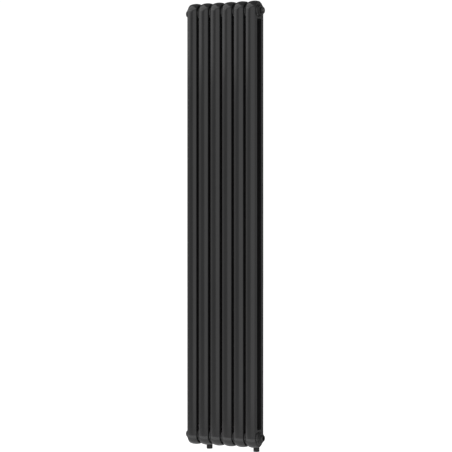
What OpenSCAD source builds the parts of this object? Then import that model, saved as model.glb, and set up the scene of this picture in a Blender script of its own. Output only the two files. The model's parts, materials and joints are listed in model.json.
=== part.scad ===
// Vertical two-column sectional radiator with bottom connections and an air vent.
// +X runs along the radiator towards the vent end, -Y is the room side, +Y the wall side, +Z is up.
// The origin lies under the middle of the radiator, level with the ends of the connection stubs.

/* [Sections] */
// Number of sections side by side
section_count = 6; // [6:1:6]
// Distance from one section to the next
section_pitch = 45; // [44:0.5:60]
// Height of a section without the connection stubs
section_height = 1500; // [600:50:2200]
// Depth of a section from room face to wall face
section_depth = 68; // [66:0.5:80]
// Width of a column across its flat sides
column_width = 36.5; // [36:0.1:38]
// Depth of one column from its crown to its flat inner face
column_depth = 18.5; // [18:0.5:22]
// Radius of the broad crown down the middle of a column's outer face
crown_round = 55; // [40:1:80]
// Slope at which the crown runs out towards the shoulders, in degrees
crown_slope = 13.4; // [10:0.1:16]
// Rounding of a column's shoulders
shoulder_round = 4.5; // [3:0.5:8]
// Rounding of a column's inner edges
inner_round = 1.5; // [0.5:0.5:3]
// Steel wall of columns and heads
wall = 1.5; // [1.2:0.1:2]
// Distance from the end of a section to the end of its air slot
slot_margin = 61.5; // [60:0.5:90]
// Rounding of the corners of an air slot
slot_round = 4; // [1:0.5:8]
// Length of a head's necks below the air slot's end
neck_length = 10.5; // [6:0.5:30]

/* [Hubs] */
// Radius of the hub bore that the nipples and plugs screw into
hub_bore_r = 16.62; // [13:0.01:17]
// Radius of the round pad that stands out around a hub
pad_r = 21.5; // [20.5:0.1:24]
// How far the pad stands out of the flat side
pad_step = 3; // [1:0.1:3.2]
// How much wider the pad is at its foot than at its face
pad_draft = 1; // [0:0.1:2]
// Radius of the machined hub face
boss_r = 20; // [19:0.1:22]
// Thickness of the flat seals between sections and under plugs
seal_thick = 1.5; // [1:0.1:2]
// Outer radius of the flat seals
seal_r = 19.6; // [18:0.1:20]
// Length of a nipple that joins two sections
nipple_length = 24; // [16:1:30]
// Bore radius of a nipple
nipple_bore_r = 13.6; // [10:0.1:14]

/* [End plugs] */
// Outer radius of a plug's flange
flange_r = 18.2; // [17:0.1:20]
// Thickness of a plug's flange
flange_thick = 3.75; // [2:0.25:5]
// Outer radius of the round boss on a plug
knob_r = 10.7; // [9:0.1:13]
// Height of the round boss on a plug
knob_height = 7.5; // [6:0.5:10]
// Width across the flats of the key socket in a blind plug
socket_flats = 13; // [6:1:14]
// Depth of the key socket
socket_depth = 7; // [3:0.5:9]
// Length of a plug's shank inside the hub
shank_length = 12; // [8:0.5:18]

/* [Air vent] */
// Bearing radius of the neck that the outlet collar turns on
vent_neck_r = 7; // [6:0.1:8]
// Bearing clearance between the neck and the collar
vent_play = 0.06; // [0.02:0.01:0.1]
// Radius of the bleed screw's shank
bleed_shank_r = 2.9; // [2:0.1:4]
// Radius of the bleed screw's head
bleed_head_r = 4.5; // [4:0.1:4.6]
// Width across the flats of the square bleed key
bleed_key = 5; // [4:0.5:6]

/* [Connections] */
// Outer radius of the half-inch pipe thread on a connection stub
stub_r = 10.478; // [10.4:0.001:10.5]
// Bore radius of a connection stub
stub_bore_r = 8; // [6:0.1:8.5]
// Outer radius of a stub's plain end inside the bottom head
stub_neck_r = 10; // [9:0.1:10.3]
// How far a stub stands out below the sections
stub_drop = 14; // [8:0.5:30]
// Length of a stub's plain end above its thread
stub_insert = 8; // [5:0.5:12]
// Distance of the stubs behind the middle of the radiator
stub_back = 13.5; // [0:0.5:14]
// Section that the flow stub enters
flow_section = 2; // [1:1:3]
// Section that the return stub leaves
return_section = 6; // [4:1:6]

/* [Hidden] */
$fn = 64;
sections = [1:section_count];
joints = [1:section_count - 1];
arc_steps = 6;
fit_gap = 0.05;
cut_over = 0.5;
half_width = column_width / 2;
half_depth = section_depth / 2;
slot_half = half_depth - column_depth;
// The crown's two slopes meet a little outside the crown itself
crest_y = half_depth + crown_round * (1 / cos(crown_slope) - 1);
shoulder_y = crest_y - half_width * tan(crown_slope);
hub_low_z = stub_drop + half_depth;
hub_high_z = stub_drop + section_height - half_depth;
hub_to_slot = slot_margin - half_depth;
hub_to_split = hub_to_slot + neck_length;
boss_face = section_pitch / 2 - seal_thick / 2;
end_joint_x = section_count * section_pitch / 2;
flange_in = seal_thick / 2;
flange_out = flange_in + flange_thick;
knob_out = flange_out + knob_height;
socket_corner_r = socket_flats / 2 / cos(30);
edge_chamfer = 0.6;
// Air vent stations along the plug's axis, measured from the end joint plane
seat_x = -1.5;
seat_hole_r = 1.2;
chamber_r = bleed_shank_r + fit_gap;
pad_thick = 1.2;
pad_seal_r = 2.4;
pad_stem_r = 1;
pad_stem_length = 1.6;
counterbore_x = flange_out + 0.4;
counterbore_r = bleed_head_r + 0.7;
neck_out = knob_out - 1.8;
snap_x = flange_out + 1.4;
snap_width = 1.2;
snap_depth = 0.5;
body_gap = 0.3;
lip_x = neck_out + body_gap;
head_in = counterbore_x + body_gap;
head_out = knob_out - 0.4;
key_depth = 3;
duct_r = 0.6;
duct_offset = 4.3;
outlet_r = 1;
outlet_x = flange_out + 3.2;
separator_thick = 2;

function section_x(k) = (k - (section_count + 1) / 2) * section_pitch;
function joint_x(k) = section_x(k) + section_pitch / 2;
function unit(v) = v / norm(v);

// Arc that rounds corner b of the outline a-b-c with radius r
function corner_arc(a, b, c, r) =
    let (u = unit(a - b), v = unit(c - b))
    let (half = acos(u * v) / 2)
    let (centre = b + unit(u + v) * r / sin(half))
    let (start = b + u * r / tan(half) - centre)
    let (turn = 180 - 2 * half)
    let (side = cross(a - b, c - b) > 0 ? -1 : 1)
    [for (i = [0:arc_steps])
        let (t = side * turn * i / arc_steps)
        centre + [start[0] * cos(t) - start[1] * sin(t), start[0] * sin(t) + start[1] * cos(t)]];

// Closed outline with every corner rounded by its own radius
function rounded(points, radii) =
    let (n = len(points))
    [for (i = [0:n - 1]) each radii[i] == 0 ? [points[i]]
        : corner_arc(points[(i + n - 1) % n], points[i], points[(i + 1) % n], radii[i])];

// Room-side column seen from above, from its flat inner face to its crown, shrunk by inset
function column_corners(inset) = [
    [-half_width + inset, -slot_half - inset],
    [-half_width + inset, -shoulder_y + inset],
    [0, -crest_y + inset],
    [half_width - inset, -shoulder_y + inset],
    [half_width - inset, -slot_half - inset]];
column_rounds = [inner_round, shoulder_round, crown_round, shoulder_round, inner_round];
column_outline = rounded(column_corners(0), column_rounds);
// Water way inside a column
column_bore = rounded(column_corners(wall), column_rounds / 2);

// Half outline of a head: distance from the hub axis along x, width along y, shrunk by inset
function rim_corners(inset) = [
    [0, -half_width + inset],
    [shoulder_y - inset, -half_width + inset],
    [crest_y - inset, 0],
    [shoulder_y - inset, half_width - inset],
    [0, half_width - inset]];
rim_rounds = [0, shoulder_round, crown_round, shoulder_round, 0];
rim_outline = rounded(rim_corners(0), rim_rounds);
rim_bore = rounded(rim_corners(wall), rim_rounds / 2);

module finish() {
    color([0.20, 0.20, 0.205]) children();
}

module steel() {
    color([0.62, 0.62, 0.60]) children();
}

module rubber() {
    color([0.06, 0.06, 0.06]) children();
}

// Turns a solid of revolution built about Z so that its axis runs along +X
module along_x() {
    rotate([0, 90, 0]) children();
}

// Half a turn of the rim about the hub axis, above the axis
module dome(outline) {
    rotate([0, -90, 0]) rotate([0, 0, -90]) rotate_extrude(angle = 180, $fn = 96) polygon(outline);
}

// Full-depth block between the hub axis and a lower level
module block(outline, depth) {
    translate([0, 0, -depth]) linear_extrude(depth) {
        polygon([for (p = outline) [p[1], p[0]]]);
        polygon([for (p = outline) [p[1], -p[0]]]);
    }
}

// Top head of a section with the hub axis at its origin
module head() {
    difference() {
        union() {
            dome(rim_outline);
            block(rim_outline, hub_to_split);
            for (side = [-1, 1]) rotate([0, side * 90, 0]) hub_boss();
        }
        dome(rim_bore);
        block(rim_bore, hub_to_slot - wall);
        for (side = [0, 180]) {
            rotate([0, 0, side]) translate([0, 0, -hub_to_split - cut_over])
                linear_extrude(hub_to_split) polygon(column_bore);
        }
        slot_end();
        translate([-section_pitch / 2, 0, 0]) along_x() cylinder(h = section_pitch, r = hub_bore_r);
    }
}

// Pressed pad and machined hub face on one flat side of a head
module hub_boss() {
    rotate_extrude() polygon([
        [0, 0],
        [pad_r + pad_draft, 0],
        [pad_r + pad_draft, half_width],
        [pad_r, half_width + pad_step],
        [boss_r, half_width + pad_step],
        [boss_r, boss_face],
        [0, boss_face]]);
}

// End of the air slot, cut through the head from below
module slot_end() {
    slot_top = -hub_to_slot;
    translate([-section_pitch / 2, 0, 0]) along_x() linear_extrude(section_pitch) {
        translate([-slot_top + slot_round, -slot_half]) square([neck_length, 2 * slot_half]);
        translate([-slot_top, -slot_half + slot_round]) square([neck_length, 2 * (slot_half - slot_round)]);
        for (side = [-1, 1]) {
            translate([-slot_top + slot_round, side * (slot_half - slot_round)]) circle(r = slot_round);
        }
    }
}

module top_head(k) {
    finish() translate([section_x(k), 0, hub_high_z]) head();
}

module bottom_head(k) {
    finish() difference() {
        translate([section_x(k), 0, hub_low_z]) mirror([0, 0, 1]) head();
        if (k == flow_section || k == return_section) {
            translate([section_x(k), stub_back, -cut_over])
                cylinder(h = stub_drop + stub_insert + 2 * cut_over, r = stub_neck_r + fit_gap);
        }
    }
}

module column(k, turn) {
    low = hub_low_z + hub_to_split;
    high = hub_high_z - hub_to_split;
    finish() translate([section_x(k), 0, low]) rotate([0, 0, turn]) difference() {
        linear_extrude(high - low) polygon(column_outline);
        translate([0, 0, -cut_over]) linear_extrude(high - low + 2 * cut_over) polygon(column_bore);
    }
}

module nipple(k, z) {
    steel() translate([joint_x(k) - nipple_length / 2, 0, z]) along_x() difference() {
        cylinder(h = nipple_length, r = hub_bore_r - fit_gap);
        translate([0, 0, -cut_over]) cylinder(h = nipple_length + 2 * cut_over, r = nipple_bore_r);
    }
}

// Flat ring seal about the hub axis
module ring_seal() {
    rubber() translate([-seal_thick / 2, 0, 0]) along_x() difference() {
        cylinder(h = seal_thick, r = seal_r);
        translate([0, 0, -cut_over]) cylinder(h = seal_thick + 2 * cut_over, r = hub_bore_r + fit_gap);
    }
}

module seal(x, z) {
    translate([x, 0, z]) ring_seal();
}

// Shank and flange shared by the blind plugs and the vent plug, with the joint plane at x = 0
module plug_base() {
    along_x() rotate_extrude() polygon([
        [0, -shank_length],
        [hub_bore_r - fit_gap - edge_chamfer, -shank_length],
        [hub_bore_r - fit_gap, -shank_length + edge_chamfer],
        [hub_bore_r - fit_gap, flange_in],
        [flange_r, flange_in],
        [flange_r, flange_out - edge_chamfer],
        [flange_r - edge_chamfer, flange_out],
        [0, flange_out]]);
}

module blind_plug() {
    finish() difference() {
        union() {
            plug_base();
            along_x() rotate_extrude() polygon([
                [0, 0],
                [knob_r, 0],
                [knob_r, knob_out - edge_chamfer],
                [knob_r - edge_chamfer, knob_out],
                [0, knob_out]]);
        }
        translate([knob_out - socket_depth, 0, 0]) along_x()
            cylinder(h = socket_depth + cut_over, r = socket_corner_r, $fn = 6);
        translate([-shank_length - cut_over, 0, 0]) along_x()
            cylinder(h = shank_length - wall, r = nipple_bore_r);
    }
}

module left_plug(z) {
    translate([-end_joint_x, 0, z]) mirror([1, 0, 0]) blind_plug();
}

module right_plug(z) {
    translate([end_joint_x, 0, z]) blind_plug();
}

module vent_plug() {
    finish() translate([end_joint_x, 0, hub_high_z]) difference() {
        union() {
            plug_base();
            along_x() rotate_extrude() polygon([
                [0, 0],
                [vent_neck_r, 0],
                [vent_neck_r, snap_x],
                [vent_neck_r - snap_depth, snap_x],
                [vent_neck_r - snap_depth, snap_x + snap_width],
                [vent_neck_r, snap_x + snap_width],
                [vent_neck_r, neck_out],
                [0, neck_out]]);
        }
        translate([-shank_length - cut_over, 0, 0]) along_x()
            cylinder(h = shank_length + 2 * cut_over, r = seat_hole_r);
        translate([-shank_length - cut_over, 0, 0]) along_x()
            cylinder(h = shank_length - 4 * wall, r = nipple_bore_r);
        translate([seat_x, 0, 0]) along_x() cylinder(h = knob_out, r = chamber_r);
        translate([counterbore_x, 0, 0]) along_x() cylinder(h = knob_out, r = counterbore_r);
        vent_duct();
    }
}

// Air way from the seat chamber, past the screw's thread, to the outlet collar
module vent_duct() {
    translate([seat_x + pad_thick, 0, -duct_offset]) along_x()
        cylinder(h = counterbore_x - seat_x, r = duct_r);
    translate([seat_x + pad_thick, 0, -duct_offset]) cylinder(h = duct_offset, r = duct_r);
    translate([outlet_x, 0, -vent_neck_r - cut_over]) cylinder(h = vent_neck_r, r = duct_r);
}

module vent_outlet_collar() {
    finish() translate([end_joint_x, 0, hub_high_z]) difference() {
        along_x() rotate_extrude() polygon([
            [vent_neck_r + vent_play, flange_out + body_gap],
            [knob_r - edge_chamfer, flange_out + body_gap],
            [knob_r, flange_out + body_gap + edge_chamfer],
            [knob_r, knob_out - 2 * edge_chamfer],
            [knob_r - 2 * edge_chamfer, knob_out],
            [counterbore_r + edge_chamfer, knob_out],
            [counterbore_r, knob_out - edge_chamfer],
            [counterbore_r, lip_x],
            [vent_neck_r + vent_play, lip_x],
            [vent_neck_r + vent_play, snap_x + snap_width * 3 / 4],
            [vent_neck_r - snap_depth / 2, snap_x + snap_width * 3 / 4],
            [vent_neck_r - snap_depth / 2, snap_x + snap_width / 4],
            [vent_neck_r + vent_play, snap_x + snap_width / 4]]);
        translate([outlet_x, 0, -knob_r - cut_over]) cylinder(h = knob_r, r = outlet_r);
    }
}

module bleed_screw() {
    tip = seat_x + pad_thick + 2 * fit_gap;
    steel() translate([end_joint_x, 0, hub_high_z]) difference() {
        along_x() rotate_extrude() polygon([
            [0, tip],
            [bleed_shank_r, tip],
            [bleed_shank_r, head_in],
            [bleed_head_r, head_in],
            [bleed_head_r, head_out - edge_chamfer],
            [bleed_head_r - edge_chamfer, head_out],
            [0, head_out]]);
        translate([tip - cut_over, 0, 0]) along_x()
            cylinder(h = pad_stem_length + cut_over + fit_gap, r = pad_stem_r + fit_gap);
        translate([head_out - key_depth, -bleed_key / 2, -bleed_key / 2])
            cube([key_depth + cut_over, bleed_key, bleed_key]);
    }
}

module bleed_seal_pad() {
    rubber() translate([end_joint_x + seat_x + fit_gap, 0, hub_high_z]) along_x() {
        cylinder(h = pad_thick, r = pad_seal_r);
        cylinder(h = pad_thick + pad_stem_length, r = pad_stem_r);
    }
}

module connection_stub(k) {
    finish() translate([section_x(k), stub_back, 0]) difference() {
        rotate_extrude() polygon([
            [0, 0],
            [stub_r - edge_chamfer, 0],
            [stub_r, edge_chamfer],
            [stub_r, stub_drop],
            [stub_neck_r, stub_drop],
            [stub_neck_r, stub_drop + stub_insert],
            [0, stub_drop + stub_insert]]);
        translate([0, 0, -cut_over]) cylinder(h = stub_drop + stub_insert + 2 * cut_over, r = stub_bore_r);
    }
}

// Disc in the bottom channel that makes the water rise through the first sections
module flow_separator() {
    steel() translate([joint_x(flow_section) - separator_thick / 2, 0, hub_low_z]) along_x()
        cylinder(h = separator_thick, r = nipple_bore_r - fit_gap);
}

for (k = sections) {
    top_head(k);
    bottom_head(k);
    column(k, 0);
    column(k, 180);
}
for (k = joints) {
    nipple(k, hub_high_z);
    nipple(k, hub_low_z);
    seal(joint_x(k), hub_high_z);
    seal(joint_x(k), hub_low_z);
}
left_plug(hub_high_z);  // top_left_plug
left_plug(hub_low_z);  // bottom_left_plug
right_plug(hub_low_z);  // bottom_right_plug
vent_plug();
seal(-end_joint_x, hub_high_z);  // top_left_plug_seal
seal(-end_joint_x, hub_low_z);  // bottom_left_plug_seal
seal(end_joint_x, hub_low_z);  // bottom_right_plug_seal
seal(end_joint_x, hub_high_z);  // vent_plug_seal
vent_outlet_collar();
bleed_screw();
bleed_seal_pad();
connection_stub(flow_section);  // flow_stub
connection_stub(return_section);  // return_stub
flow_separator();
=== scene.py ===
"""Looks of a tall two-column radiator.

Six painted steel sections, four end plugs, one of them with an air vent, and two threaded stubs.

+X runs along the radiator to the air vent, -Y is the room side, +Z is up. Everything is in metres.
"""
import json
import math

import bmesh
import bpy
from mathutils import Matrix, Vector


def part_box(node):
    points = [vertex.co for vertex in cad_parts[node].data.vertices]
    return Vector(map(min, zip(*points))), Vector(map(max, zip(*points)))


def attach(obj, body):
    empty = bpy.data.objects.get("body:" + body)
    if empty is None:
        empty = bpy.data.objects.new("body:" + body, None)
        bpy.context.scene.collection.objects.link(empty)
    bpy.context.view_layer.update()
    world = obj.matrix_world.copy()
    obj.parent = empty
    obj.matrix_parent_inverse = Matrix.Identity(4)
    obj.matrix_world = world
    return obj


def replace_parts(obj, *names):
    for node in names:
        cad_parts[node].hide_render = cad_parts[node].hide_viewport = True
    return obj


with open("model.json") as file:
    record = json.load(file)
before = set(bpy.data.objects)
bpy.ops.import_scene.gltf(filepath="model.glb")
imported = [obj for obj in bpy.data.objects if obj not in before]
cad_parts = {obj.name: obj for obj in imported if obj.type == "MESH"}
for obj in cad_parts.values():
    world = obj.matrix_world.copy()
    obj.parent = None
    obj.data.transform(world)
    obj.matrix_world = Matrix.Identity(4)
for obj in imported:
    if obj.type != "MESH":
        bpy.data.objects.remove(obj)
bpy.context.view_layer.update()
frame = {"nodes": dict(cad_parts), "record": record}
MM = 0.001

# ---------------------------------------------------------------- sizes, from the frame where it has them

SECTIONS = range(1, 7)
column_low, column_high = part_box("section_1_front_column")
head_low, head_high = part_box("section_1_top_head")
plug_low, plug_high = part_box("bottom_right_plug")
vent_low, vent_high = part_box("vent_plug")
stub_low, stub_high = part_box("flow_stub")
collar_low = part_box("vent_outlet_collar")[0]
screw_low, screw_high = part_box("bleed_screw")
seal_low, seal_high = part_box("vent_plug_seal")

HALF_WIDTH = (column_high.x - column_low.x) / 2
HALF_DEPTH = -head_low.y
SLOT_HALF = -column_high.y
BOSS_FACE = (head_high.x - head_low.x) / 2
HUB_HIGH = (vent_low.z + vent_high.z) / 2
HUB_LOW = (plug_low.z + plug_high.z) / 2
SPLIT_DROP = HUB_HIGH - column_high.z
END_X = (seal_low.x + seal_high.x) / 2
HALF_SEAL = (seal_high.x - seal_low.x) / 2

# the same driving sizes as the CAD source
CROWN_ROUND = 55 * MM
CROWN_SLOPE = math.radians(13.4)
SHOULDER_ROUND = 4.5 * MM
INNER_ROUND = 1.5 * MM
WALL = 1.5 * MM
SLOT_ROUND = 4 * MM
NECK_LENGTH = 10.5 * MM
HUB_BORE_R = 16.62 * MM
PAD_R = 21.5 * MM
PAD_STEP = 3 * MM
PAD_DRAFT = 1 * MM
PAD_FOOT_R = PAD_R + PAD_DRAFT
BOSS_R = 20 * MM
SLOT_DROP = SPLIT_DROP - NECK_LENGTH
CREST_Y = HALF_DEPTH + CROWN_ROUND * (1 / math.cos(CROWN_SLOPE) - 1)
SHOULDER_Y = CREST_Y - HALF_WIDTH * math.tan(CROWN_SLOPE)

ROUND_STEPS = 8
RING_STEPS = 96
DOME_STEPS = 72


def section_x(k):
    low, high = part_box(f"section_{k}_top_head")
    return (low.x + high.x) / 2


# ---------------------------------------------------------------- outlines

def round_corner(a, b, c, radius, steps=ROUND_STEPS):
    """Points of the arc that rounds corner b of the outline a, b, c."""
    u, v = (a - b).normalized(), (c - b).normalized()
    half = u.angle(v) / 2
    centre = b + (u + v).normalized() * radius / math.sin(half)
    start = b + u * radius / math.tan(half) - centre
    turn = (math.pi - 2 * half) * (-1 if (a - b).cross(c - b) > 0 else 1)
    return [centre + Matrix.Rotation(turn * i / steps, 2) @ start for i in range(steps + 1)]


def rounded(points, radii, closed=True, steps=ROUND_STEPS):
    """Outline whose corners are rounded, each by its own radius."""
    points = [Vector(p) for p in points]
    out = []
    for i, (p, r) in enumerate(zip(points, radii)):
        ends = not closed and i in (0, len(points) - 1)
        if r == 0 or ends:
            out.append(p)
        else:
            out += round_corner(points[i - 1], p, points[(i + 1) % len(points)], r, steps)
    return out


def column_corners(inset):
    side = HALF_WIDTH - inset
    return [(-side, -SLOT_HALF - inset), (-side, -SHOULDER_Y + inset), (0, -CREST_Y + inset),
            (side, -SHOULDER_Y + inset), (side, -SLOT_HALF - inset)]


# ---------------------------------------------------------------- mesh helpers

def piece_from(name, mesh, material, body="radiator"):
    """A finished piece of the radiator with its material, riding on a body."""
    piece = bpy.data.objects.new(name, mesh)
    bpy.context.scene.collection.objects.link(piece)
    mesh.materials.append(material)
    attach(piece, body)
    return piece


def mesh_from(bm, name, sharp_angle=35):
    """Closes a bmesh up and shades it smooth, with creases where it turns sharply."""
    bmesh.ops.remove_doubles(bm, verts=bm.verts, dist=1e-7)
    bmesh.ops.recalc_face_normals(bm, faces=bm.faces)
    mesh = bpy.data.meshes.new(name)
    bm.to_mesh(mesh)
    bm.free()
    mesh.shade_smooth()
    mesh.set_sharp_from_angle(angle=math.radians(sharp_angle))
    return mesh


def keep_flats(piece):
    """Keeps broad flat faces evenly shaded next to small rounds."""
    modifier = piece.modifiers.new("flats", "WEIGHTED_NORMAL")
    modifier.keep_sharp = True
    return piece


def strip(bm, rows, closed_rows=False, closed_columns=False):
    """Quads between rows of points; returns the rows of vertices."""
    grid = [[bm.verts.new(p) for p in row] for row in rows]
    pairs = list(zip(grid, grid[1:] + grid[:1])) if closed_columns else list(zip(grid, grid[1:]))
    for one, two in pairs:
        steps = len(one) if closed_rows else len(one) - 1
        for j in range(steps):
            k = (j + 1) % len(one)
            bm.faces.new((one[j], one[k], two[k], two[j]))
    return grid


def revolve(bm, profile, centre, axis="X", closed=False, steps=RING_STEPS):
    """Turns a profile of (radius, distance along the axis) into a surface about that axis."""
    rows = []
    for i in range(steps):
        t = 2 * math.pi * i / steps
        row = []
        for radius, along in profile:
            if axis == "X":
                row.append(centre + Vector((along, radius * math.cos(t), radius * math.sin(t))))
            else:
                row.append(centre + Vector((radius * math.cos(t), radius * math.sin(t), along)))
        rows.append(row)
    return strip(bm, rows, closed_rows=closed, closed_columns=True)


def cut(piece, cutter):
    """Takes the cutter out of the piece for good and removes it."""
    modifier = piece.modifiers.new("cut", "BOOLEAN")
    modifier.operation = "DIFFERENCE"
    modifier.solver = "EXACT"
    modifier.object = cutter
    graph = bpy.context.evaluated_depsgraph_get()
    result = bpy.data.meshes.new_from_object(piece.evaluated_get(graph))
    piece.modifiers.remove(modifier)
    piece.data = result
    bpy.data.objects.remove(cutter)
    result.shade_smooth()
    result.set_sharp_from_angle(angle=math.radians(35))
    return piece


def tool_from(bm, name="cutter"):
    """A plain object for cutting with; it isn't kept."""
    tool = bpy.data.objects.new(name, mesh_from(bm, name))
    bpy.context.scene.collection.objects.link(tool)
    return tool


# ---------------------------------------------------------------- materials

def node(tree, kind, **inputs):
    made = tree.nodes.new(kind)
    for key, value in inputs.items():
        made.inputs[key.replace("_", " ")].default_value = value
    return made


def noise(tree, scale, detail=3.0):
    """Noise in the piece's own space; scale is in grains a metre."""
    place = tree.nodes.new("ShaderNodeTexCoord")
    made = node(tree, "ShaderNodeTexNoise", Scale=scale, Detail=detail)
    tree.links.new(place.outputs["Object"], made.inputs["Vector"])
    return made.outputs["Fac"]


def remap(tree, value, low, high):
    made = tree.nodes.new("ShaderNodeMapRange")
    made.inputs["From Min"].default_value = 0.3
    made.inputs["From Max"].default_value = 0.7
    made.inputs["To Min"].default_value = low
    made.inputs["To Max"].default_value = high
    tree.links.new(value, made.inputs["Value"])
    return made.outputs["Result"]


def varied(tree, value, dark, light):
    ramp = tree.nodes.new("ShaderNodeValToRGB")
    ramp.color_ramp.elements[0].position = 0.3
    ramp.color_ramp.elements[1].position = 0.7
    ramp.color_ramp.elements[0].color = (*dark, 1)
    ramp.color_ramp.elements[1].color = (*light, 1)
    tree.links.new(value, ramp.inputs["Fac"])
    return ramp.outputs["Color"]


def surface(name, dark, light, metallic, rough, grain, grain_depth, wander=3.0):
    """A material whose colour, gloss and grain all vary a little over the piece."""
    made = bpy.data.materials.new(name)
    made.use_nodes = True
    tree = made.node_tree
    shader = tree.nodes["Principled BSDF"]
    shader.inputs["Metallic"].default_value = metallic
    cloud = noise(tree, wander)
    tree.links.new(varied(tree, cloud, dark, light), shader.inputs["Base Color"])
    tree.links.new(remap(tree, noise(tree, wander * 9), *rough), shader.inputs["Roughness"])
    bump = node(tree, "ShaderNodeBump", Strength=1.0, Distance=grain_depth)
    tree.links.new(noise(tree, grain, detail=2.0), bump.inputs["Height"])
    tree.links.new(bump.outputs["Normal"], shader.inputs["Normal"])
    return made


def grey(level, blue=0.0):
    """A neutral colour, a touch bluer where blue is above zero."""
    return (level, level, level + blue)


PAINT = surface("powder_coat", grey(0.016, 0.0005), grey(0.019, 0.0005), 0,
                rough=(0.14, 0.18), grain=900, grain_depth=0.012 * MM)
PLUG_PAINT = surface("plug_coat", grey(0.012, 0.0002), grey(0.016, 0.0002), 0,
                     rough=(0.25, 0.32), grain=1100, grain_depth=0.015 * MM)
THREAD_PAINT = surface("thread_coat", grey(0.010), grey(0.016), 0,
                       rough=(0.35, 0.5), grain=1500, grain_depth=0.02 * MM)
COLLAR = surface("collar_plastic", grey(0.012, 0.0002), grey(0.016, 0.0002), 0,
                 rough=(0.32, 0.4), grain=2200, grain_depth=0.01 * MM)
NICKEL = surface("dull_nickel", (0.36, 0.355, 0.34), (0.47, 0.465, 0.45), 1,
                 rough=(0.22, 0.38), grain=3000, grain_depth=0.008 * MM)
STEEL = surface("machined_steel", (0.42, 0.42, 0.41), (0.55, 0.55, 0.54), 1,
                rough=(0.25, 0.4), grain=1800, grain_depth=0.01 * MM)
RUBBER = surface("seal_rubber", grey(0.012), grey(0.02), 0,
                 rough=(0.55, 0.75), grain=1600, grain_depth=0.02 * MM)


# ---------------------------------------------------------------- columns

def column_mesh(name, x, turn, low_z, high_z):
    """A drawn tube with a soft crest outside, flat sides and a water way inside."""
    bm = bmesh.new()
    radii = [INNER_ROUND, SHOULDER_ROUND, CROWN_ROUND, SHOULDER_ROUND, INNER_ROUND]
    skin = rounded(column_corners(0), radii)
    bore = rounded(column_corners(WALL), [r / 2 for r in radii])
    place = Matrix.Translation((x, 0, 0)) @ Matrix.Rotation(turn, 4, "Z")
    rings = [(skin, low_z), (skin, high_z), (bore, high_z), (bore, low_z)]
    rows = [[place @ Vector((p.x, p.y, z)) for p in ring] for ring, z in rings]
    strip(bm, rows, closed_rows=True, closed_columns=True)
    return mesh_from(bm, name, 50)


def build_columns():
    for k in SECTIONS:
        for side, turn in (("front", 0), ("rear", math.pi)):
            cad = f"section_{k}_{side}_column"
            low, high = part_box(cad)
            mesh = column_mesh(f"{cad}_tube", section_x(k), turn, low.z, high.z)
            piece = piece_from(f"{cad}_tube", mesh, PAINT)
            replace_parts(keep_flats(piece), cad)


# ---------------------------------------------------------------- heads

def crown():
    """Rounded rim across its width, as (x, distance from the hub axis)."""
    corners = [(-HALF_WIDTH, 0), (-HALF_WIDTH, SHOULDER_Y), (0, CREST_Y),
               (HALF_WIDTH, SHOULDER_Y), (HALF_WIDTH, 0)]
    return rounded(corners, [0, SHOULDER_ROUND, CROWN_ROUND, SHOULDER_ROUND, 0], closed=False)[1:-1]


def slot_lip():
    """Rounded edge of the air slot across its width, as (x, depth into the metal)."""
    deep = 9 * MM
    corners = [(-HALF_WIDTH, deep), (-HALF_WIDTH, 0), (HALF_WIDTH, 0), (HALF_WIDTH, deep)]
    return rounded(corners, [0, INNER_ROUND, INNER_ROUND, 0], closed=False)[1:-1]


def rim_rows():
    """Cross-sections of the rim from the front neck, over the dome, to the rear neck."""
    rows = []
    edge = crown()
    for z in (-SPLIT_DROP, -SPLIT_DROP / 2):
        rows.append([Vector((x, -r, z)) for x, r in edge])
    for i in range(DOME_STEPS + 1):
        t = math.pi * i / DOME_STEPS
        rows.append([Vector((x, -r * math.cos(t), r * math.sin(t))) for x, r in edge])
    for z in (-SPLIT_DROP / 2, -SPLIT_DROP):
        rows.append([Vector((x, r, z)) for x, r in edge])
    return rows


def slot_rows():
    """Cross-sections of the air slot's end, from the rear neck, over the top, to the front neck."""
    rows = []
    lip = slot_lip()
    for side, start in ((1, 0), (-1, math.pi / 2)):
        centre_y = side * (SLOT_HALF - SLOT_ROUND)
        centre_z = -SLOT_DROP - SLOT_ROUND
        if side == 1:
            rows.append([Vector((x, SLOT_HALF + d, -SPLIT_DROP)) for x, d in lip])
        for i in range(ROUND_STEPS + 1):
            t = start + math.pi / 2 * i / ROUND_STEPS
            rows.append([Vector((x, centre_y + (SLOT_ROUND + d) * math.cos(t),
                                 centre_z + (SLOT_ROUND + d) * math.sin(t))) for x, d in lip])
        if side == -1:
            rows.append([Vector((x, -SLOT_HALF - d, -SPLIT_DROP)) for x, d in lip])
    return rows


def hub_profile():
    """Pad and machined face on one side of a head, from its foot in to the bore."""
    foot = HALF_WIDTH
    pad = HALF_WIDTH + PAD_STEP
    corners = [(PAD_FOOT_R, foot), (PAD_R, pad), (BOSS_R, pad), (BOSS_R, BOSS_FACE), (HUB_BORE_R, BOSS_FACE)]
    return rounded(corners, [0, 0.8 * MM, 0.3 * MM, 0.4 * MM, 0], closed=False, steps=4)


def add_flat_side(bm, side, rim, slot):
    """Flat side of a head, between the rim, the slot's end and the pad's foot."""
    j = 0 if side < 0 else -1
    outer = [row[j].copy() for row in rim] + [row[j].copy() for row in slot]
    ring = []
    for i in range(RING_STEPS):
        t = 2 * math.pi * i / RING_STEPS
        ring.append(Vector((side * HALF_WIDTH, PAD_FOOT_R * math.cos(t), PAD_FOOT_R * math.sin(t))))
    edges = []
    for loop in (outer, ring):
        verts = [bm.verts.new(p) for p in loop]
        edges += [bm.edges.new((verts[i], verts[(i + 1) % len(verts)])) for i in range(len(verts))]
    bmesh.ops.triangle_fill(bm, use_beauty=True, use_dissolve=False, edges=edges, normal=(side, 0, 0))


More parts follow.
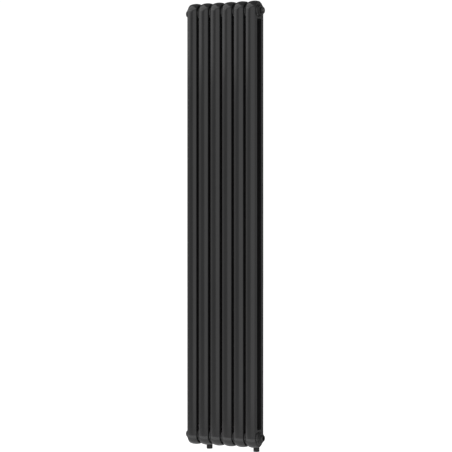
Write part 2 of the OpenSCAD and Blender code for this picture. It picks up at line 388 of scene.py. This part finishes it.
def head_mesh(name, x, hub_z, up):
    """A pressed head: rim, flat sides, pads, hub bore and the end of the air slot."""
    bm = bmesh.new()
    rim, slot = rim_rows(), slot_rows()
    strip(bm, rim)
    strip(bm, slot)
    for side in (-1, 1):
        add_flat_side(bm, side, rim, slot)
        profile = [(r, side * along) for r, along in hub_profile()]
        revolve(bm, profile, Vector((0, 0, 0)))
    revolve(bm, [(HUB_BORE_R, -BOSS_FACE), (HUB_BORE_R, BOSS_FACE)], Vector((0, 0, 0)))
    for neck in (rim[0] + slot[-1][::-1], rim[-1][::-1] + slot[0]):
        bm.faces.new([bm.verts.new(p) for p in neck])
    flip = Matrix.Diagonal((1, 1, 1 if up else -1, 1))
    bm.transform(Matrix.Translation((x, 0, hub_z)) @ flip)
    return mesh_from(bm, name, 50)


def build_heads():
    for k in SECTIONS:
        for end, hub_z in (("top", HUB_HIGH), ("bottom", HUB_LOW)):
            cad = f"section_{k}_{end}_head"
            mesh = head_mesh(f"{cad}_shell", section_x(k), hub_z, end == "top")
            piece = piece_from(f"{cad}_shell", mesh, PAINT)
            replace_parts(keep_flats(piece), cad)


# ---------------------------------------------------------------- end plugs

FLANGE_R = 18.2 * MM
KNOB_R = 10.7 * MM
FLANGE_IN = HALF_SEAL
FLANGE_THICK = 3.75 * MM
FLANGE_OUT = FLANGE_IN + FLANGE_THICK
KNOB_OUT = plug_high.x - END_X
SHANK = END_X - plug_low.x
SHANK_R = HUB_BORE_R - 0.05 * MM
SOCKET_FLATS = 13 * MM
SOCKET_CORNER_R = SOCKET_FLATS / math.sqrt(3)
SOCKET_MOUTH_R = SOCKET_CORNER_R + 0.8 * MM
SOCKET_FLOOR_R = SOCKET_CORNER_R + 0.1 * MM
SOCKET_CHAMFER = 0.7 * MM
SOCKET_DEPTH = 7 * MM


def hexagon(across_flats, x0, x1):
    """A key-shaped cutter along X."""
    bm = bmesh.new()
    radius = across_flats / math.sqrt(3)
    rows = []
    for x in (x0, x1):
        rows.append([Vector((x, radius * math.cos(math.pi / 3 * i), radius * math.sin(math.pi / 3 * i)))
                     for i in range(6)])
    grid = strip(bm, rows, closed_rows=True)
    bm.faces.new(grid[0])
    bm.faces.new(grid[1][::-1])
    return bm


def blind_plug(cad, side, hub_z):
    """Turned plug with a flange, a round boss and a key socket."""
    corners = [(0, -SHANK), (SHANK_R, -SHANK), (SHANK_R, FLANGE_IN),
               (FLANGE_R, FLANGE_IN), (FLANGE_R, FLANGE_OUT), (KNOB_R, FLANGE_OUT), (KNOB_R, KNOB_OUT),
               (SOCKET_MOUTH_R, KNOB_OUT), (SOCKET_FLOOR_R, KNOB_OUT - SOCKET_CHAMFER),
               (0, KNOB_OUT - SOCKET_CHAMFER)]
    radii = [0, 0.6 * MM, 0, 0.3 * MM, 0.9 * MM, 0.7 * MM, 1.0 * MM, 0.2 * MM, 0, 0]
    bm = bmesh.new()
    revolve(bm, rounded(corners, radii, closed=False, steps=5), Vector((0, 0, 0)))
    piece = piece_from(f"{cad}_turned", mesh_from(bm, cad), PLUG_PAINT)
    cut(piece, tool_from(hexagon(SOCKET_FLATS, KNOB_OUT - SOCKET_DEPTH, KNOB_OUT + 5 * MM)))
    flip = Matrix.Diagonal((side, 1, 1, 1))
    piece.data.transform(Matrix.Translation((side * END_X, 0, hub_z)) @ flip)
    if side < 0:
        piece.data.flip_normals()
    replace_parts(piece, cad)


# ---------------------------------------------------------------- air vent

NECK_R = 7 * MM
NECK_OUT = vent_high.x - END_X
HEAD_R = (screw_high.y - screw_low.y) / 2
WELL_R = HEAD_R + 0.7 * MM
WELL_FLOOR = FLANGE_OUT + 0.4 * MM
SHANK_BORE_R = 2.95 * MM
SEAT_X = -1.5 * MM
COLLAR_IN = collar_low.x - END_X
COLLAR_BORE_R = NECK_R + 0.06 * MM
COLLAR_STEP = NECK_OUT + 0.3 * MM
OUTLET_R = 1 * MM
OUTLET_X = FLANGE_OUT + 3.2 * MM
SCREW_IN = screw_low.x - END_X
SCREW_R = 2.9 * MM
SCREW_SHOULDER = WELL_FLOOR + 0.3 * MM
SCREW_OUT = screw_high.x - END_X
KEY_FLATS = 5 * MM
KEY_DEPTH = 3 * MM


def at_vent(piece):
    piece.data.transform(Matrix.Translation((END_X, 0, HUB_HIGH)))
    return piece


def build_vent_plug():
    """The plug that carries the vent, with its neck and the well for the screw."""
    corners = [(SHANK_BORE_R, SEAT_X), (0, SEAT_X), (0, -SHANK), (SHANK_R, -SHANK),
               (SHANK_R, FLANGE_IN), (FLANGE_R, FLANGE_IN), (FLANGE_R, FLANGE_OUT),
               (NECK_R, FLANGE_OUT), (NECK_R, NECK_OUT), (WELL_R, NECK_OUT), (WELL_R, WELL_FLOOR),
               (SHANK_BORE_R, WELL_FLOOR)]
    radii = [0, 0, 0, 0.6 * MM, 0, 0.3 * MM, 0.9 * MM, 0.2 * MM, 0.3 * MM, 0.2 * MM, 0, 0.2 * MM]
    bm = bmesh.new()
    revolve(bm, rounded(corners, radii, steps=4), Vector((0, 0, 0)), closed=True)
    plug = at_vent(piece_from("vent_plug_turned", mesh_from(bm, "vent_plug_turned"), PLUG_PAINT))
    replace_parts(plug, "vent_plug")


def build_collar():
    """The outlet collar that turns on the vent's neck."""
    corners = [(COLLAR_BORE_R, COLLAR_IN), (KNOB_R, COLLAR_IN), (KNOB_R, KNOB_OUT), (WELL_R, KNOB_OUT),
               (WELL_R, COLLAR_STEP), (COLLAR_BORE_R, COLLAR_STEP)]
    radii = [0.2 * MM, 0.6 * MM, 1.3 * MM, 0.6 * MM, 0.1 * MM, 0.1 * MM]
    bm = bmesh.new()
    revolve(bm, rounded(corners, radii, steps=5), Vector((0, 0, 0)), closed=True)
    collar = piece_from("vent_collar_moulded", mesh_from(bm, "vent_collar_moulded"), COLLAR, "outlet_collar")
    hole = bmesh.new()
    grid = revolve(hole, [(OUTLET_R, -KNOB_R - 2 * MM), (OUTLET_R, -NECK_R + 1 * MM)],
                   Vector((OUTLET_X, 0, 0)), axis="Z", steps=32)
    hole.faces.new([row[0] for row in grid])
    hole.faces.new([row[1] for row in grid])
    cut(collar, tool_from(hole))
    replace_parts(at_vent(collar), "vent_outlet_collar")


def build_bleed_screw():
    """The screw in the middle of the vent, with its square key socket."""
    corners = [(0, SCREW_IN), (SCREW_R, SCREW_IN), (SCREW_R, SCREW_SHOULDER),
               (HEAD_R, SCREW_SHOULDER), (HEAD_R, SCREW_OUT), (0, SCREW_OUT)]
    radii = [0, 0.3 * MM, 0, 0.2 * MM, 0.6 * MM, 0]
    bm = bmesh.new()
    revolve(bm, rounded(corners, radii, closed=False, steps=4), Vector((0, 0, 0)))
    screw = piece_from("bleed_screw_turned", mesh_from(bm, "bleed_screw_turned"), NICKEL, "bleed_screw")
    key = bmesh.new()
    key_centre = Vector((SCREW_OUT - KEY_DEPTH + KEY_FLATS / 2, 0, 0))
    bmesh.ops.create_cube(key, size=KEY_FLATS, matrix=Matrix.Translation(key_centre))
    cut(screw, tool_from(key))
    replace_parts(at_vent(screw), "bleed_screw")


# ---------------------------------------------------------------- connection stubs

STUB_R = (stub_high.x - stub_low.x) / 2
STUB_BORE_R = 8 * MM
STUB_NECK_R = 10 * MM
THREAD_PITCH = 1.814 * MM
THREAD_DEPTH = 0.5 * MM
THREAD_STEP = 0.15 * MM
THREAD_LEAD = 0.6 * MM
THREAD_FADE = 1.6 * MM
THREAD_CREST = 0.3
THREAD_FLANK = 0.6


def stub_mesh(name, x, y, low_z, thread_top, high_z):
    """Pipe end with a cut thread that runs out below the section, and a plain neck above it."""
    bm = bmesh.new()
    count = round((thread_top - low_z) / THREAD_STEP)
    rows = []
    for i in range(RING_STEPS):
        t = i / RING_STEPS
        row = [(STUB_BORE_R, high_z), (STUB_BORE_R, low_z)]
        for j in range(count + 1):
            z = low_z + (thread_top - low_z) * j / count
            wave = abs((z / THREAD_PITCH - t) % 1 * 2 - 1)
            lead = min(1, (z - low_z) / THREAD_LEAD)
            fade = min(1, max(0, (thread_top - z) / THREAD_FADE))
            groove = THREAD_DEPTH * min(1, max(0, (wave - THREAD_CREST) / THREAD_FLANK))
            radius = STUB_R - groove * fade - THREAD_LEAD * (1 - lead)
            row.append((radius, z))
        row += [(STUB_NECK_R, thread_top), (STUB_NECK_R, high_z)]
        angle = 2 * math.pi * t
        rows.append([Vector((x + r * math.cos(angle), y + r * math.sin(angle), z)) for r, z in row])
    strip(bm, rows, closed_rows=True, closed_columns=True)
    return mesh_from(bm, name, 40)


def build_stubs():
    for cad in ("flow_stub", "return_stub"):
        low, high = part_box(cad)
        centre = (low + high) / 2
        thread_top = HUB_LOW - HALF_DEPTH
        mesh = stub_mesh(f"{cad}_threaded", centre.x, centre.y, low.z, thread_top, high.z)
        piece = piece_from(f"{cad}_threaded", mesh, THREAD_PAINT)
        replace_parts(piece, cad)


# ---------------------------------------------------------------- CAD pieces that keep their own mesh

def finish_cad_nodes():
    by_slot = {"bare_steel": STEEL, "seal_rubber": RUBBER, "plug_paint": PLUG_PAINT, "section_paint": PAINT,
               "stub_paint": THREAD_PAINT, "collar_plastic": COLLAR, "bleed_metal": NICKEL}
    for entry in frame["record"]["subparts"]:
        made = frame["nodes"][entry["node"]]
        made.data.materials.clear()
        made.data.materials.append(by_slot[entry["material_slot"]])


# ---------------------------------------------------------------- stage, lights and camera

BACKDROP_SEEN = 1.05
FLOOR_SEEN = 1.0
FLOOR_GLOW = 0.05
AMBIENT = 0.2
FLOOR_Z = -0.14
FLOOR_REACH = 14
MIDDLE = (0, 0, 0.76)


def seen_or_not(tree, seen, unseen):
    """One brightness where the camera sees the studio itself, another where it lights the radiator."""
    path = tree.nodes.new("ShaderNodeLightPath")
    level = tree.nodes.new("ShaderNodeMapRange")
    level.inputs["To Min"].default_value = unseen
    level.inputs["To Max"].default_value = seen
    tree.links.new(path.outputs["Is Camera Ray"], level.inputs["Value"])
    return level.outputs["Result"]


def build_floor():
    bm = bmesh.new()
    bmesh.ops.create_grid(bm, x_segments=8, y_segments=8, size=FLOOR_REACH)
    bm.transform(Matrix.Translation((0, 0, FLOOR_Z)))
    mesh = mesh_from(bm, "floor")
    floor = bpy.data.objects.new("floor", mesh)
    bpy.context.scene.collection.objects.link(floor)
    pale = surface("pale_floor", grey(0.56), grey(0.6), 0,
                   rough=(0.6, 0.7), grain=60, grain_depth=0.2 * MM, wander=0.6)
    shader = pale.node_tree.nodes["Principled BSDF"]
    shader.inputs["Emission Color"].default_value = (1, 1, 1, 1)
    tree = pale.node_tree
    tree.links.new(seen_or_not(tree, FLOOR_SEEN, FLOOR_GLOW), shader.inputs["Emission Strength"])
    mesh.materials.append(pale)


def softbox(name, azimuth, elevation, distance, width, height, radiance, aim=MIDDLE):
    """An even panel light that faces its aim from azimuth degrees right of the front."""
    data = bpy.data.lights.new(name, "AREA")
    data.shape = "RECTANGLE"
    data.size, data.size_y = width, height
    data.energy = radiance * width * height * math.pi
    light = bpy.data.objects.new(name, data)
    bpy.context.scene.collection.objects.link(light)
    a, e = math.radians(azimuth), math.radians(elevation)
    way = Vector((math.sin(a) * math.cos(e), -math.cos(a) * math.cos(e), math.sin(e)))
    light.location = Vector(aim) + way * distance
    light.rotation_euler = way.to_track_quat("Z", "Y").to_euler()
    light.visible_camera = False


# name, degrees right of the front, degrees up, then distance, width and height in metres, radiance
PANELS = [
    ("key", 4, 4, 2.0, 1.67, 3.6, 0.84),
    ("fill", 44.5, 4, 2.6, 1.64, 3.6, 0.72),
    ("right", 93, 8, 3.2, 3.9, 3.2, 0.5),
    ("back_right", 147, 8, 3.2, 2.65, 3.2, 0.1),
    ("left", -65, 4, 2.4, 1.45, 3.6, 0.45),
    ("dim_left", -34, 4, 2.4, 1.37, 3.6, 0.16),
    ("upper_left", -54, 30, 2.4, 1.3, 1.2, 0.8),
    ("high_left", -60, 56, 2.6, 2.2, 1.5, 1.15),
    ("high_front", 4, 56, 2.6, 1.6, 1.5, 0.35),
]
UP_FROM_FLOOR = -89.9
FLOOR_DROP = 0.88


def build_lights():
    for panel in PANELS:
        softbox(*panel)
    softbox("floor_front", 0, UP_FROM_FLOOR, FLOOR_DROP, 2.8, 0.7, 1.15, aim=(-0.3, -0.55, MIDDLE[2]))
    softbox("floor_under", 0, UP_FROM_FLOOR, FLOOR_DROP, 2.8, 0.4, 0.5, aim=(-0.3, 0, MIDDLE[2]))
    world = bpy.data.worlds.new("white_studio")
    world.use_nodes = True
    tree = world.node_tree
    backdrop = tree.nodes["Background"]
    backdrop.inputs["Color"].default_value = (1, 1, 1, 1)
    tree.links.new(seen_or_not(tree, BACKDROP_SEEN, AMBIENT), backdrop.inputs["Strength"])
    bpy.context.scene.world = world


VIEW_AZIMUTH = math.radians(28.7)
VIEW_DISTANCE = 6.519
VIEW_HEIGHT = 0.830
VIEW_ASIDE = 0.003
LENS = 153.6
SENSOR = 36
LENS_SHIFT = -0.0474


def build_camera():
    data = bpy.data.cameras.new("camera")
    data.lens = LENS
    data.sensor_width = SENSOR
    data.shift_y = LENS_SHIFT
    camera = bpy.data.objects.new("camera", data)
    bpy.context.scene.collection.objects.link(camera)
    right = Vector((math.cos(VIEW_AZIMUTH), math.sin(VIEW_AZIMUTH), 0))
    back = Vector((math.sin(VIEW_AZIMUTH), -math.cos(VIEW_AZIMUTH), 0))
    camera.location = back * VIEW_DISTANCE + right * VIEW_ASIDE + Vector((0, 0, VIEW_HEIGHT))
    camera.rotation_euler = (math.pi / 2, 0, VIEW_AZIMUTH)
    bpy.context.scene.camera = camera


build_camera()
build_columns()
build_heads()
blind_plug("top_left_plug", -1, HUB_HIGH)
blind_plug("bottom_left_plug", -1, HUB_LOW)
blind_plug("bottom_right_plug", 1, HUB_LOW)
build_vent_plug()
build_collar()
build_bleed_screw()
build_stubs()
finish_cad_nodes()
build_floor()
build_lights()

scene = bpy.context.scene
scene.view_settings.view_transform = "Standard"
